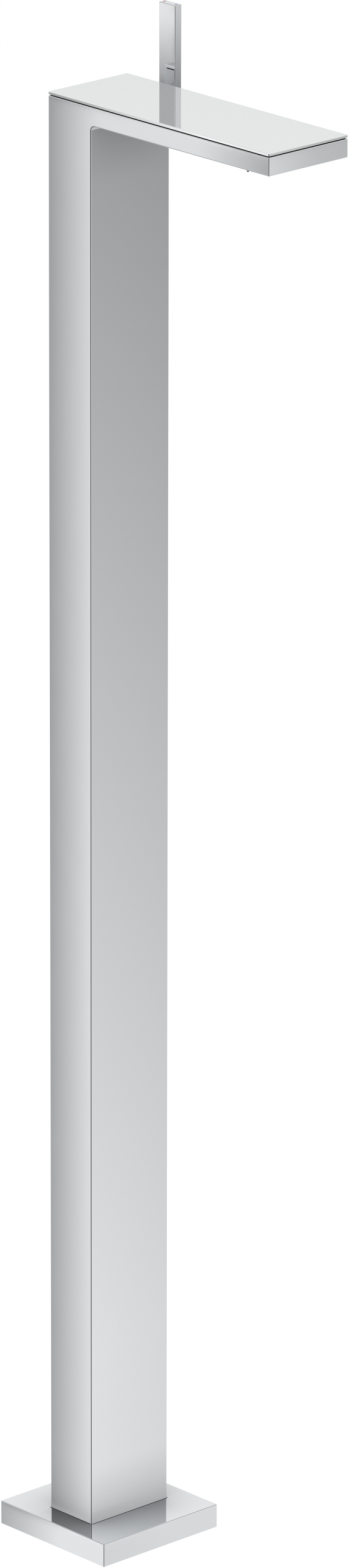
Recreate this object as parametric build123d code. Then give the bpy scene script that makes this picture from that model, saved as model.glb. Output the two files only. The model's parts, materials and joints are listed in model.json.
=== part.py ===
"""Floor-standing basin mixer: a square floor cover, a tall rectangular column, a flat cantilevered
spout under a mirrored glass plate, and a flat lever on the column's right side.

The frame: +Z is up from the floor, the spout points along -Y, and the lever is on +X. The origin is on
the floor, on the column's middle line. Lengths are in millimetres, angles in degrees.
"""
from build123d import *
from math import acos, asin, cos, degrees, radians, sin, sqrt, tan
import os

# How near an edge's middle must be to a place for the edge to be there
place_tolerance = 0.01

# Column, spout and glass plate
column_width = 80.0
column_depth = 47.0
plate_top_z = 1165.0
spout_reach = 241.0
spout_thickness = 14.4
shell_wall = 2.0
inner_corner_radius = 4.0
edge_radius = 0.8
rim_edge_radius = 0.5
plate_thickness = 2.0
plate_edge_radius = 0.4
shadow_gap = 1.0
shadow_inset = 1.3
bonding_thickness = 0.2
bonding_inset = 3.0
skirt_depth = 3.0
skirt_wall = 1.2
skirt_clearance = 0.3

# Floor cover and mounting foot
base_side = 120.0
base_height = 19.0
base_wall = 2.0
base_opening_gap = 0.5
seal_clearance = 0.15
seal_drop = 0.9
seal_lip_width = 3.0
seal_lip_thickness = 1.5
foot_side = 100.0
foot_thickness = 6.0
foot_corner_radius = 6.0
foot_gasket_thickness = 1.0
post_wall = 3.0
post_height = 40.0
post_clearance = 0.3
floor_bolt_spacing = 76.0
floor_bolt_hole_radius = 3.25
foot_screw_radius = 2.5
foot_screw_height = 12.0
foot_screw_spacing = 40.0
foot_screw_recess = 0.1
foot_screw_bite = 0.4
socket_depth = 1.6
socket_share = 0.5
thread_clearance = 0.05

# Valve block in the column's head, and its ports
axis_drop = 27.0
pocket_depth = 32.0
block_back_wall = 16.0
block_below_axis = 20.0
block_clearance = 1.5
port_radius = 4.0
port_spacing = 18.0
disc_port_radius = 2.0
disc_port_spread = 4.6
disc_port_drop = 3.2
disc_port_rise = 5.0
port_lap = 0.3
outlet_riser_radius = 2.4
outlet_way_radius = 2.8
drill_overrun = 1.0
block_screw_inset = 8.0
spacer_wall = 2.0
spacer_clearance = 0.3

# Ceramic cartridge, counted from the pocket's floor outwards
cartridge_radius = 15.0
cartridge_clearance = 0.1
housing_wall = 1.8
housing_mouth_radius = 7.5
base_seal_thickness = 1.0
cartridge_base_thickness = 3.0
fixed_disc_thickness = 3.5
moving_disc_thickness = 3.5
moving_disc_radius = 9.5
disc_chamber_depth = 1.8
water_film = 0.05
coupler_radius = 10.0
coupler_thickness = 4.4
coupler_floor = 1.0
guide_length = 11.0
guide_gap = 0.3
guide_clearance = 0.2
pivot_depth = 6.0
pivot_pin_radius = 1.25
pivot_pin_clearance = 0.05
pivot_pin_recess = 0.8
ring_step = 1.5
ring_mouth_radius = 8.5
ring_stand_out = 0.9
spanner_notches = 4
spanner_notch = 2.4
spanner_notch_depth = 1.2

# Lever, its stem and the round dome that it tilts over
lever_width = 18.0
lever_thickness = 6.5
lever_above_plate = 55.0
lever_offset = 19.25
lever_edge_radius = 0.6
spigot_radius = 5.0
spigot_length = 2.0
flow_tilt = 16.0
stem_radius = 3.5
stem_neck_radius = 1.7
stem_ball_radius = 2.5
stem_slot_clearance = 0.2
stem_fit = 0.05
stem_end_gap = 0.1
dome_flange = 2.0
dome_wall = 1.4
dome_gap = 0.6
dome_root_wall = 1.3
dome_root_clearance = 0.1
dome_margin_angle = 0.6
hub_rim_wall = 0.34
hub_column_clearance = 0.4
hub_edge_radius = 0.6
hub_screw_radius = 1.5
hub_screw_length = 8.0
hub_screw_inset = 4.2
hub_plug_length = 1.6
mark_radius = 1.25
mark_depth = 0.6
mark_spacing = 12.8

# Waterway and spray outlet in the spout
waterway_drop = 7.8
waterway_width = 34.0
waterway_height = 8.0
waterway_wall = 1.2
waterway_end_gap = 0.3
nipple_radius = 3.2
nipple_bore_radius = 2.0
nipple_length = 5.5
nipple_clearance = 0.1
nipple_groove_inset = 2.0
sealing_ring_groove = 0.6
sealing_ring_slack = 0.01
outlet_from_tip = 26.0
outlet_depth = 22.0
outlet_side_margin = 2.4
outlet_clearance = 0.2
spray_face_drop = 0.8
spray_face_thickness = 2.0
spray_flange_thickness = 0.8
spray_flange_width = 3.0
spray_rim_wall = 1.0
chamber_side_clearance = 0.3
chamber_side_wall = 0.8
chamber_roof = 1.6
chamber_top_gap = 0.4
nozzle_radius = 0.8
nozzle_bore_radius = 0.3
nozzle_below_spout = 1.9
nozzle_side_inset = 3.5
nozzle_clearance = 0.15
nozzle_rows = 5
nozzle_row_pitch = 3.6
nozzles_in_middle_row = 16
spray_screw_radius = 1.0
spray_screw_head_radius = 1.9
spray_screw_bite = 1.4
spray_screw_inset = 8.0
limiter_length = 2.4
limiter_bore_radius = 0.8

# Screws and bosses that hold the plate's carrier
carrier_screw_radius = 1.5
carrier_screw_head_radius = 2.9
carrier_screw_length = 6.0
carrier_screw_spare = 0.5
carrier_screw_clearance = 0.15
boss_radius = 3.2
boss_side_inset = 7.0
boss_front_inset = 52.0
boss_back_inset = 60.0

# Supply hoses inside the column, from the floor up
inlet_spacing = 30.0
inlet_bore_radius = 7.5
inlet_thread_length = 8.0
nut_bottom_z = 20.0
nut_height = 16.0
nut_across_flats = 22.0
nut_recess_step = 0.2
filter_radius = 7.3
filter_bore_radius = 4.0
filter_thickness = 1.5
filter_gap = 0.2
tail_collar_thickness = 2.0
tail_radius = 6.0
tail_stand_out = 4.0
hose_radius = 5.0
hose_bore_radius = 3.4
hose_bend_radius = 400.0
hose_top_run = 60.0
hose_slant_run = 140.0
barb_length = 14.0
fitting_collar = 6.0
fitting_radius = 6.0
fitting_insert = 8.0
ferrule_length = 16.0
ferrule_wall = 1.2
hose_spacer_thickness = 8.0
hose_spacer_fit = 0.1
hose_spacer_heights = (300.0, 760.0)

# Heights and faces that follow from the sizes above
half_width = column_width / 2
half_depth = column_depth / 2
inner_x = half_width - shell_wall
inner_y = half_depth - shell_wall
spout_top_z = plate_top_z - plate_thickness - shadow_gap
spout_under_z = spout_top_z - spout_thickness
spout_floor_z = spout_under_z + shell_wall
tray_top_z = plate_top_z - plate_thickness - bonding_thickness
skirt_bottom_z = spout_top_z - skirt_depth
tip_y = half_depth - spout_reach
foot_top_z = foot_gasket_thickness + foot_thickness
cover_under_z = base_height - base_wall
post_x = inner_x - post_clearance
post_y = inner_y - post_clearance
axis_z = plate_top_z - axis_drop
lever_top_z = plate_top_z + lever_above_plate

# Places along the lever's axis, as distances from the column's middle plane
pocket_floor_x = inner_x - pocket_depth
cartridge_base_x = pocket_floor_x + base_seal_thickness
fixed_disc_x = cartridge_base_x + cartridge_base_thickness
moving_disc_x = fixed_disc_x + fixed_disc_thickness + water_film
coupler_x = moving_disc_x + moving_disc_thickness
coupler_end_x = coupler_x + coupler_thickness
guide_x = coupler_end_x + guide_gap
guide_end_x = guide_x + guide_length
housing_lip_x = guide_end_x + guide_gap
housing_end_x = housing_lip_x + housing_wall
pivot_x = guide_x + pivot_depth
ball_x = coupler_x + coupler_floor + stem_ball_radius + stem_slot_clearance
ring_end_x = half_width + ring_stand_out
dome_mouth_x = half_width + dome_wall
lever_x = half_width + lever_offset
stem_end_x = lever_x - spigot_length - stem_end_gap
block_back_x = pocket_floor_x - block_back_wall
port_x = pocket_floor_x - block_back_wall / 2

# Radii round the lever's axis
chamber_radius = cartridge_radius - housing_wall
guide_radius = chamber_radius - guide_clearance
ring_radius = cartridge_radius + ring_step
dome_root_radius = ring_radius + dome_root_clearance + dome_root_wall
dome_base_radius = dome_root_radius + dome_flange
dome_radius = sqrt((half_width - pivot_x) ** 2 + dome_base_radius**2)
hub_hollow_radius = dome_radius + dome_gap
hub_corner = hub_hollow_radius + hub_rim_wall
hub_swept_angle = degrees(acos((half_width + hub_column_clearance - pivot_x) / hub_corner))
hub_rim_angle = radians(hub_swept_angle - flow_tilt)
hub_radius = hub_corner * sin(hub_rim_angle)
hub_rim_x = pivot_x + hub_corner * cos(hub_rim_angle)
hub_screw_x = lever_x - hub_screw_inset

# Places in the valve block and the spout
block_half_y = inner_y - block_clearance
block_bottom_z = axis_z - block_below_axis
waterway_z = spout_top_z - waterway_drop
outlet_y = tip_y + outlet_from_tip
outlet_half_x = half_width - outlet_side_margin
face_half_x = outlet_half_x - outlet_clearance
face_half_y = outlet_depth / 2 - outlet_clearance
face_bottom_z = spout_under_z - spray_face_drop
face_top_z = face_bottom_z + spray_face_thickness
chamber_bottom_z = spout_floor_z + spray_flange_thickness
chamber_top_z = skirt_bottom_z - chamber_top_gap
chamber_half_x = inner_x - chamber_side_clearance
chamber_half_y = face_half_y + spray_flange_width
mat_half_y = face_half_y - spray_rim_wall
chamber_back_y = outlet_y + chamber_half_y

# Heights along the supply hoses
nut_top_z = nut_bottom_z + nut_height
filter_z = nut_bottom_z + inlet_thread_length + filter_gap
collar_z = filter_z + filter_thickness
shoulder_z = collar_z + tail_collar_thickness
hose_bottom_z = nut_top_z + tail_stand_out
hose_top_z = block_bottom_z - fitting_collar
fitting_nipple = port_radius - nipple_clearance

# The frame of the lever's axis: local z runs outwards along it, local x along +Y, local y along +Z
lever_axis = Plane(origin=(0, 0, axis_z), x_dir=(0, 1, 0), z_dir=(1, 0, 0))


def block(x, y, z):
    """A box between two places along each axis."""
    middle = Pos((x[0] + x[1]) / 2, (y[0] + y[1]) / 2, (z[0] + z[1]) / 2)
    return middle * Box(x[1] - x[0], y[1] - y[0], z[1] - z[0])


def slab(half_x, half_y, z):
    """A box centred on the column's middle line."""
    return block((-half_x, half_x), (-half_y, half_y), z)


def rod(radius, z, x=0.0, y=0.0):
    """A cylinder along Z between two heights."""
    return Pos(x, y, (z[0] + z[1]) / 2) * Cylinder(radius, z[1] - z[0])


def cross_rod(radius, y, x, z):
    """A cylinder along Y between two places."""
    return Pos(x, (y[0] + y[1]) / 2, z) * Rot(90, 0, 0) * Cylinder(radius, y[1] - y[0])


def along_axis(radius, x, u=0.0, v=0.0):
    """A cylinder along the lever's axis, moved by u along +Y and v along +Z."""
    return lever_axis * Pos(u, v, (x[0] + x[1]) / 2) * Cylinder(radius, x[1] - x[0])


def edges_here(part, x=None, y=None, z=None, parallel=None):
    """The part's edges whose middle lies at the given places, and that run along one axis if asked."""
    found = part.edges().filter_by(parallel) if parallel else part.edges()

    def here(edge):
        middle = edge.center(CenterOf.BOUNDING_BOX)
        wanted = ((x, abs(middle.X)), (y, middle.Y), (z, middle.Z))
        return all(want is None or abs(want - got) < place_tolerance for want, got in wanted)

    return [edge for edge in found if here(edge)]


# The floor fixing, which the cover hides


def foot_outline(z):
    """The foot's square outline with its bolt holes and the opening for the supply hoses."""
    outline = RectangleRounded(foot_side, foot_side, foot_corner_radius)
    plate = Pos(0, 0, z[0]) * extrude(outline, z[1] - z[0])
    plate -= slab(post_x - post_wall, post_y - post_wall, z)
    half = floor_bolt_spacing / 2
    for x in (-half, half):
        for y in (-half, half):
            plate -= rod(floor_bolt_hole_radius, z, x, y)
    return plate


def foot_screw_places():
    """Where the grub screws stand: x, and the side of the column."""
    return [(x, side) for x in (-foot_screw_spacing / 2, foot_screw_spacing / 2) for side in (-1, 1)]


def mounting_foot():
    """A steel plate with an upright rectangular post that the column slides over."""
    foot = foot_outline((foot_gasket_thickness, foot_top_z))
    post_z = (foot_top_z, foot_top_z + post_height)
    foot += slab(post_x, post_y, post_z) - slab(post_x - post_wall, post_y - post_wall, post_z)
    for x, side in foot_screw_places():
        hole = sorted((side * (post_y - post_wall), side * post_y))
        foot -= cross_rod(foot_screw_radius + thread_clearance, hole, x, foot_screw_height)
    return foot


def foot_gasket():
    return foot_outline((0.0, foot_gasket_thickness))


def column_grub_screws():
    """Four grub screws through the column's walls into the post, each with a hexagon socket."""
    screws = []
    for x, side in foot_screw_places():
        mouth = half_depth - foot_screw_recess
        inner = post_y - post_wall + foot_screw_bite
        screw = cross_rod(foot_screw_radius, sorted((side * inner, side * mouth)), x, foot_screw_height)
        socket = extrude(RegularPolygon(foot_screw_radius * socket_share, 6), socket_depth)
        start = mouth if side > 0 else socket_depth - mouth
        screws.append(screw - Pos(x, start, foot_screw_height) * Rot(90, 0, 0) * socket)
    return Compound(children=screws)


# The floor cover, which slides up the column to reach the floor bolts


def base_cover():
    half_side = base_side / 2
    cover = slab(half_side, half_side, (0.0, base_height))
    cover = fillet(cover.edges().filter_by(Axis.Z), edge_radius)
    cover -= slab(half_width + base_opening_gap, half_depth + base_opening_gap, (0.0, base_height))
    cover = fillet(edges_here(cover, z=base_height), rim_edge_radius)
    return cover - slab(half_side - base_wall, half_side - base_wall, (0.0, cover_under_z))


def cover_seal():
    """A rubber frame in the cover's opening, with a lip under the cover's top."""
    opening_x = half_width + base_opening_gap
    opening_y = half_depth + base_opening_gap
    lip_z = (cover_under_z - seal_lip_thickness, cover_under_z)
    seal_z = (lip_z[0], base_height - seal_drop)
    seal = slab(opening_x, opening_y, seal_z)
    seal += slab(opening_x + seal_lip_width, opening_y + seal_lip_width, lip_z)
    return seal - slab(half_width + seal_clearance, half_depth + seal_clearance, seal_z)


# The body shell: the column and the spout's trough, brazed and polished as one piece


def boss_places():
    """The screw bosses on the spout's floor."""
    x = inner_x - boss_side_inset
    places_y = (tip_y + boss_front_inset, -half_depth - boss_back_inset)
    return [(side * x, y) for side in (-1, 1) for y in places_y]


def block_screw_places():
    """The two carrier screws that go into the valve block."""
    return [(inner_x - pocket_depth / 2, 0.0), (port_x, block_half_y - block_screw_inset)]


def carrier_screw_hole(x, y):
    depth = carrier_screw_length + carrier_screw_spare
    return rod(carrier_screw_radius + thread_clearance, (spout_top_z - depth, spout_top_z), x, y)


def spray_screw_places():
    """Two screws at each end of the spray chamber."""
    x = chamber_half_x - spray_screw_inset
    y = face_half_y + spray_flange_width / 2
    return [(side * x, outlet_y + end * y) for side in (-1, 1) for end in (-1, 1)]


def spray_screw_hole(z, x, y):
    return rod(spray_screw_radius + thread_clearance, z, x, y)


def body_shell():
    column = slab(half_width, half_depth, (foot_top_z, spout_top_z))
    spout = block((-half_width, half_width), (tip_y, 0.0), (spout_under_z, spout_top_z))
    shell = column + spout
    shell = fillet(edges_here(shell, y=-half_depth, z=spout_under_z, parallel=Axis.X), inner_corner_radius)
    ends = (foot_top_z, spout_top_z)
    side_edges = edges_here(shell, x=half_width)
    side_edges = [
        edge
        for edge in side_edges
        if min(abs(edge.center(CenterOf.BOUNDING_BOX).Z - z) for z in ends) > place_tolerance
    ]
    tip_edge = edges_here(shell, y=tip_y, z=spout_under_z, parallel=Axis.X)
    shell = fillet(side_edges + tip_edge, edge_radius)
    shell = fillet(edges_here(shell, z=spout_top_z), rim_edge_radius)
    shell -= slab(inner_x, inner_y, (foot_top_z, spout_top_z))
    shell -= block((-inner_x, inner_x), (tip_y + shell_wall, 0.0), (spout_floor_z, spout_top_z))
    for x, y in boss_places():
        shell += rod(boss_radius, (spout_floor_z, spout_top_z), x, y)
        shell -= carrier_screw_hole(x, y)
    outlet_y_ends = (outlet_y - outlet_depth / 2, outlet_y + outlet_depth / 2)
    shell -= block((-outlet_half_x, outlet_half_x), outlet_y_ends, (spout_under_z, spout_floor_z))
    for x, y in spray_screw_places():
        shell -= spray_screw_hole((spout_floor_z - spray_screw_bite, spout_floor_z), x, y)
    shell -= along_axis(dome_root_radius + dome_root_clearance, (inner_x, half_width))
    for x, side in foot_screw_places():
        wall = sorted((side * inner_y, side * half_depth))
        shell -= cross_rod(foot_screw_radius + thread_clearance, wall, x, foot_screw_height)
    return shell


# The glass plate and what holds it


def plate_outline(inset, z):
    reach = half_width - inset
    return block((-reach, reach), (tip_y + inset, half_depth - inset), z)


def glass_plate():
    plate = plate_outline(0.0, (plate_top_z - plate_thickness, plate_top_z))
    plate = fillet(plate.edges().filter_by(Axis.Z), edge_radius)
    return fillet(edges_here(plate, z=plate_top_z), plate_edge_radius)


def bonding_sheet():
    return plate_outline(bonding_inset, (tray_top_z, plate_top_z - plate_thickness))


def carrier_screw_head(x, y, clearance):
    """The screw's countersunk head, or the hole for it with a clearance."""
    head = Cone(
        carrier_screw_radius + clearance, carrier_screw_head_radius + clearance, tray_top_z - spout_top_z
    )
    return Pos(x, y, (tray_top_z + spout_top_z) / 2) * head


def plate_carrier():
    """A black tray with a skirt inside the shell's rim; its edge is the dark line under the glass."""
    carrier = plate_outline(shadow_inset, (spout_top_z, plate_top_z - plate_thickness))
    carrier -= bonding_sheet()
    outside = shell_wall + skirt_clearance
    skirt_z = (skirt_bottom_z, spout_top_z)
    skirt = plate_outline(outside, skirt_z) - plate_outline(outside + skirt_wall, skirt_z)
    block_y = block_half_y + skirt_clearance
    skirt -= block((block_back_x - skirt_clearance, half_width), (-block_y, block_y), skirt_z)
    carrier += skirt
    for x, y in boss_places() + block_screw_places():
        carrier -= carrier_screw_head(x, y, carrier_screw_clearance)
    return carrier


def carrier_screws():
    shank_z = (spout_top_z - carrier_screw_length, spout_top_z)
    places = boss_places() + block_screw_places()
    return Compound(
        children=[
            carrier_screw_head(x, y, 0.0) + rod(carrier_screw_radius, shank_z, x, y) for x, y in places
        ]
    )


# The valve block in the column's head


def supply_places():
    """The ports under the block: hot at the back, cold at the front."""
    return {"hot": (port_x, port_spacing / 2), "cold": (port_x, -port_spacing / 2)}


def disc_ports(x):
    """The hot, cold and mixed-water ways through the discs, hot towards the back."""
    hot = along_axis(disc_port_radius, x, disc_port_spread, -disc_port_drop)
    cold = along_axis(disc_port_radius, x, -disc_port_spread, -disc_port_drop)
    return hot + cold + along_axis(disc_port_radius, x, 0.0, disc_port_rise)


def valve_block():
    body = block((block_back_x, inner_x), (-block_half_y, block_half_y), (block_bottom_z, spout_top_z))
    body -= along_axis(cartridge_radius + cartridge_clearance, (pocket_floor_x, inner_x))
    body -= along_axis(ring_radius + thread_clearance, (housing_end_x, inner_x))
    body -= disc_ports((port_x, pocket_floor_x))
    port_top = axis_z - disc_port_drop + disc_port_radius + drill_overrun
    for x, y in supply_places().values():
        body -= rod(port_radius, (block_bottom_z, port_top), x, y)
    riser_foot = axis_z + disc_port_rise - disc_port_radius - drill_overrun
    body -= rod(outlet_riser_radius, (riser_foot, waterway_z), port_x)
    way_end = outlet_riser_radius + drill_overrun
    body -= cross_rod(outlet_way_radius, (-block_half_y, way_end), port_x, waterway_z)
    socket = (-block_half_y, nipple_length - block_half_y)
    body -= cross_rod(nipple_radius + nipple_clearance, socket, port_x, waterway_z)
    for x, y in block_screw_places():
        body -= carrier_screw_hole(x, y)
    return body


def block_spacer():
    """A plastic box that fills the column beside the block and keeps it against the right wall."""
    x = (spacer_clearance - inner_x, block_back_x)
    z = (block_bottom_z, spout_floor_z)
    spacer = block(x, (-block_half_y, block_half_y), z)
    inside_x = (x[0] + spacer_wall, x[1] - spacer_wall)
    inside_half_y = block_half_y - spacer_wall
    return spacer - block(inside_x, (-inside_half_y, inside_half_y), (z[0], z[1] - spacer_wall))


# The ceramic cartridge


def cartridge_base_seal():
    ends = (pocket_floor_x, cartridge_base_x)
    return along_axis(chamber_radius, ends) - disc_ports(ends)


def cartridge_base():
    ends = (cartridge_base_x, fixed_disc_x)
    return along_axis(cartridge_radius, ends) - disc_ports(ends)


def cartridge_housing():
    housing = along_axis(cartridge_radius, (fixed_disc_x, housing_end_x))
    housing -= along_axis(chamber_radius, (fixed_disc_x, housing_lip_x))
    return housing - along_axis(housing_mouth_radius, (housing_lip_x, housing_end_x))


def fixed_disc():
    ends = (fixed_disc_x, fixed_disc_x + fixed_disc_thickness)
    return along_axis(guide_radius, ends) - disc_ports(ends)


def moving_disc():
    """The upper ceramic disc, with a shallow T-shaped chamber that joins the supplies to the outlet."""
    disc = along_axis(moving_disc_radius, (moving_disc_x, coupler_x))
    bar_length = 2 * (disc_port_spread + disc_port_radius)
    bar_v = -disc_port_drop - disc_port_radius / 2
    top_v = disc_port_rise - disc_port_radius - port_lap
    chamber = Pos(0, bar_v) * SlotOverall(bar_length, 2 * disc_port_radius)
    chamber += Pos(0, (bar_v + top_v) / 2) * Rectangle(2 * disc_port_radius, top_v - bar_v)
    return disc - lever_axis * Pos(0, 0, moving_disc_x) * extrude(chamber, disc_chamber_depth)


def disc_coupler():
    """Carries the moving disc; the stem's ball end works in its square slot."""
    side = 2 * (stem_ball_radius + stem_slot_clearance)
    slot_start = coupler_x + coupler_floor
    slot = Pos(0, 0, (slot_start + coupler_end_x) / 2) * Box(side, side, coupler_end_x - slot_start)
    return along_axis(coupler_radius, (coupler_x, coupler_end_x)) - lever_axis * slot


def stem_guide():
    """The turning carrier: it holds the pivot pin and lets the stem tilt in one plane only."""
    longest_arm = max(pivot_depth, guide_length - pivot_depth)
    swept = longest_arm * sin(radians(flow_tilt)) + stem_radius / cos(radians(flow_tilt))
    slot = Box(2 * (stem_radius + stem_slot_clearance), 2 * (swept + stem_slot_clearance), guide_length)
    guide = along_axis(guide_radius, (guide_x, guide_end_x))
    guide -= lever_axis * Pos(0, 0, (guide_x + guide_end_x) / 2) * slot
    return guide - cross_rod(pivot_pin_radius, (-guide_radius, guide_radius), pivot_x, axis_z)


def pivot_pin():
    reach = guide_radius - pivot_pin_recess
    return cross_rod(pivot_pin_radius, (-reach, reach), pivot_x, axis_z)


def lever_stem():
    """A round steel stem with a ball end inside the cartridge and a bore for the pivot pin."""
    shoulder_x = ball_x + stem_ball_radius
    stem = along_axis(stem_radius, (shoulder_x, stem_end_x))
    stem += along_axis(stem_neck_radius, (ball_x, shoulder_x))
    stem += lever_axis * Pos(0, 0, ball_x) * Sphere(stem_ball_radius)
    bore = pivot_pin_radius + pivot_pin_clearance
    return stem - cross_rod(bore, (-stem_radius, stem_radius), pivot_x, axis_z)


def clamp_ring():
    """The threaded ring that holds the cartridge down and carries the dome, with spanner notches."""
    ends = (housing_end_x, ring_end_x)
    ring = along_axis(ring_radius, ends) - along_axis(ring_mouth_radius, ends)
    notch = Box(spanner_notch, spanner_notch, spanner_notch_depth)
    notch = Pos(ring_mouth_radius + spanner_notch / 2, 0, ring_end_x - spanner_notch_depth / 2) * notch
    for index in range(spanner_notches):
        ring -= lever_axis * Rot(0, 0, 360 * (index + 0.5) / spanner_notches) * notch
    return ring


# The dome, the hub and the lever


def pivot_sphere(radius):
    return lever_axis * Pos(0, 0, pivot_x) * Sphere(radius)


def stem_cone():
    """The cone round the pivot that the stem sweeps as it tilts in any direction."""
    stem_angle = degrees(asin(stem_radius / (dome_radius - dome_wall)))
    half_angle = radians(stem_angle + flow_tilt + dome_margin_angle)
    length = 2 * dome_radius
    return lever_axis * Pos(0, 0, pivot_x + length / 2) * Cone(0.0, length * tan(half_angle), length)


def dome_sleeve():
    """A chromed spherical collar that screws onto the clamp ring and grips the column's wall."""
    dome = pivot_sphere(dome_radius) & along_axis(dome_radius, (half_width, pivot_x + dome_radius))
    dome += along_axis(dome_root_radius, (inner_x, dome_mouth_x))
    dome -= along_axis(ring_radius + dome_root_clearance, (inner_x, dome_mouth_x))
    dome -= pivot_sphere(dome_radius - dome_wall) & along_axis(
        dome_radius, (dome_mouth_x, pivot_x + dome_radius)
    )
    return dome - stem_cone()


def handle_hub():
    hub = along_axis(hub_radius, (hub_rim_x, lever_x))
    hub = fillet(hub.edges().filter_by(GeomType.CIRCLE).sort_by(Axis.X)[-1], hub_edge_radius)
    hub -= pivot_sphere(hub_hollow_radius)
    hub -= along_axis(stem_radius + stem_fit, (hub_rim_x, stem_end_x))
    hub -= along_axis(spigot_radius + stem_fit, (stem_end_x, lever_x))
    return hub - rod(hub_screw_radius + thread_clearance, (axis_z - hub_radius, axis_z), hub_screw_x)


def hub_grub_screw():
    top = axis_z - stem_radius
    screw = rod(hub_screw_radius, (top - hub_screw_length, top), hub_screw_x)
    socket = extrude(RegularPolygon(hub_screw_radius * socket_share, 6), socket_depth)
    return screw - Pos(hub_screw_x, 0, top - hub_screw_length) * socket


def hub_plug():
    """A small plug that closes the screw's hole under the hub."""
    bottom = axis_z - hub_radius + hub_edge_radius / 2
    return rod(hub_screw_radius, (bottom, bottom + hub_plug_length), hub_screw_x)


def mark_places():
    """The hot and cold marks on the lever's top, hot towards the back."""
    x = lever_x + lever_thickness / 2
    return {"hot": (x, mark_spacing / 2), "cold": (x, -mark_spacing / 2)}


def lever_bar():
    half = lever_width / 2
    x = (lever_x, lever_x + lever_thickness)
    bar = block(x, (-half, half), (axis_z - hub_radius, lever_top_z))
    bar = fillet(bar.edges(), lever_edge_radius)
    bar += along_axis(spigot_radius, (lever_x - spigot_length, lever_x + lever_edge_radius))
    for mark_x, mark_y in mark_places().values():
        bar -= rod(mark_radius, (lever_top_z - mark_depth, lever_top_z), mark_x, mark_y)
    return bar


def colour_mark(name):
    x, y = mark_places()[name]
    return rod(mark_radius, (lever_top_z - mark_depth, lever_top_z), x, y)


# Sealing rings in grooves, shared by the waterway's nipples and the hoses' fittings


def ring_section():
    """Half the room between a groove's floor and the socket's wall."""
    return (sealing_ring_groove + nipple_clearance) / 2


def ring_groove(nipple, middle):
    """The groove round a nipple that stands along local Z."""
    half = ring_section() + sealing_ring_slack
    ends = (middle - half, middle + half)
    return rod(nipple, ends) - rod(nipple - sealing_ring_groove, ends)


def sealing_ring(nipple, middle):
    path_radius = nipple + nipple_clearance - ring_section()
    return Pos(0, 0, middle) * Torus(path_radius, ring_section() - sealing_ring_slack)


# The waterway inside the spout and the spray outlet at its tip


def waterway_ends():
    """The duct's body along Y, and the tips of its front and back nipples."""
    body = (chamber_back_y + waterway_end_gap, -block_half_y - waterway_end_gap)
    front_tip = chamber_back_y - nipple_length + waterway_end_gap
    back_tip = -block_half_y + nipple_length - waterway_end_gap
    return body, front_tip, back_tip


def waterway_ring_frames():
    """Frames at each nipple's tip, whose local Z points back along the nipple."""
    front_tip, back_tip = waterway_ends()[1:]
    return [
        Pos(0, front_tip, waterway_z) * Rot(-90, 0, 0),
        Pos(port_x, back_tip, waterway_z) * Rot(90, 0, 0),
    ]


def spout_waterway():
    """A flat duct from the block's outlet to the spray chamber, with a round nipple at each end."""
    half_x = waterway_width / 2
    z = (waterway_z - waterway_height / 2, waterway_z + waterway_height / 2)
    y, front_tip, back_tip = waterway_ends()
    inside_x = half_x - waterway_wall
    duct = block((-half_x, half_x), y, z)
    duct -= block(
        (-inside_x, inside_x),
        (y[0] + waterway_wall, y[1] - waterway_wall),
        (z[0] + waterway_wall, z[1] - waterway_wall),
    )
    duct += cross_rod(nipple_radius, (front_tip, y[0]), 0.0, waterway_z)
    duct += cross_rod(nipple_radius, (y[1], back_tip), port_x, waterway_z)
    duct -= cross_rod(nipple_bore_radius, (front_tip, y[0] + waterway_wall), 0.0, waterway_z)
    duct -= cross_rod(nipple_bore_radius, (y[1] - waterway_wall, back_tip), port_x, waterway_z)
    for frame in waterway_ring_frames():
        duct -= frame * ring_groove(nipple_radius, nipple_groove_inset)
    return duct


def waterway_rings():
    """Rubber rings round the waterway's two nipples."""
    ring = sealing_ring(nipple_radius, nipple_groove_inset)
    return Compound(children=[frame * ring for frame in waterway_ring_frames()])


def flow_limiter():
    """A small plug with a fine bore, in the front nipple."""
    tip = waterway_ends()[1]
    limiter = cross_rod(nipple_bore_radius, (tip, tip + limiter_length), 0.0, waterway_z)
    return limiter - cross_rod(limiter_bore_radius, (tip, tip + limiter_length), 0.0, waterway_z)


def spray_chamber():
    """A shallow box over the nozzle mat that spreads the water to every nozzle."""
    chamber = block(
        (-chamber_half_x, chamber_half_x),
        (outlet_y - chamber_half_y, outlet_y + chamber_half_y),
        (chamber_bottom_z, chamber_top_z),
    )
    inside_x = chamber_half_x - chamber_side_wall
    inside_y = (outlet_y - mat_half_y + spray_rim_wall, outlet_y + mat_half_y - spray_rim_wall)
    chamber -= block((-inside_x, inside_x), inside_y, (chamber_bottom_z, chamber_top_z - chamber_roof))
    inlet = (chamber_back_y - nipple_length, chamber_back_y)
    chamber -= cross_rod(nipple_radius + nipple_clearance, inlet, 0.0, waterway_z)
    for x, y in spray_screw_places():
        chamber -= spray_screw_hole((chamber_bottom_z, chamber_top_z), x, y)
        chamber -= spray_screw_head(x, y, thread_clearance)
    return chamber


def spray_screw_head(x, y, clearance):
    """The screw's countersunk head, or the hole for it with a clearance."""
    height = spray_screw_head_radius - spray_screw_radius
    head = Cone(spray_screw_radius + clearance, spray_screw_head_radius + clearance, height)
    return Pos(x, y, chamber_top_z - height / 2) * head


def spray_screws():
    z = (spout_floor_z - spray_screw_bite, chamber_top_z)
    return Compound(
        children=[
            rod(spray_screw_radius, z, x, y) + spray_screw_head(x, y, 0.0) for x, y in spray_screw_places()
        ]
    )


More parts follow.
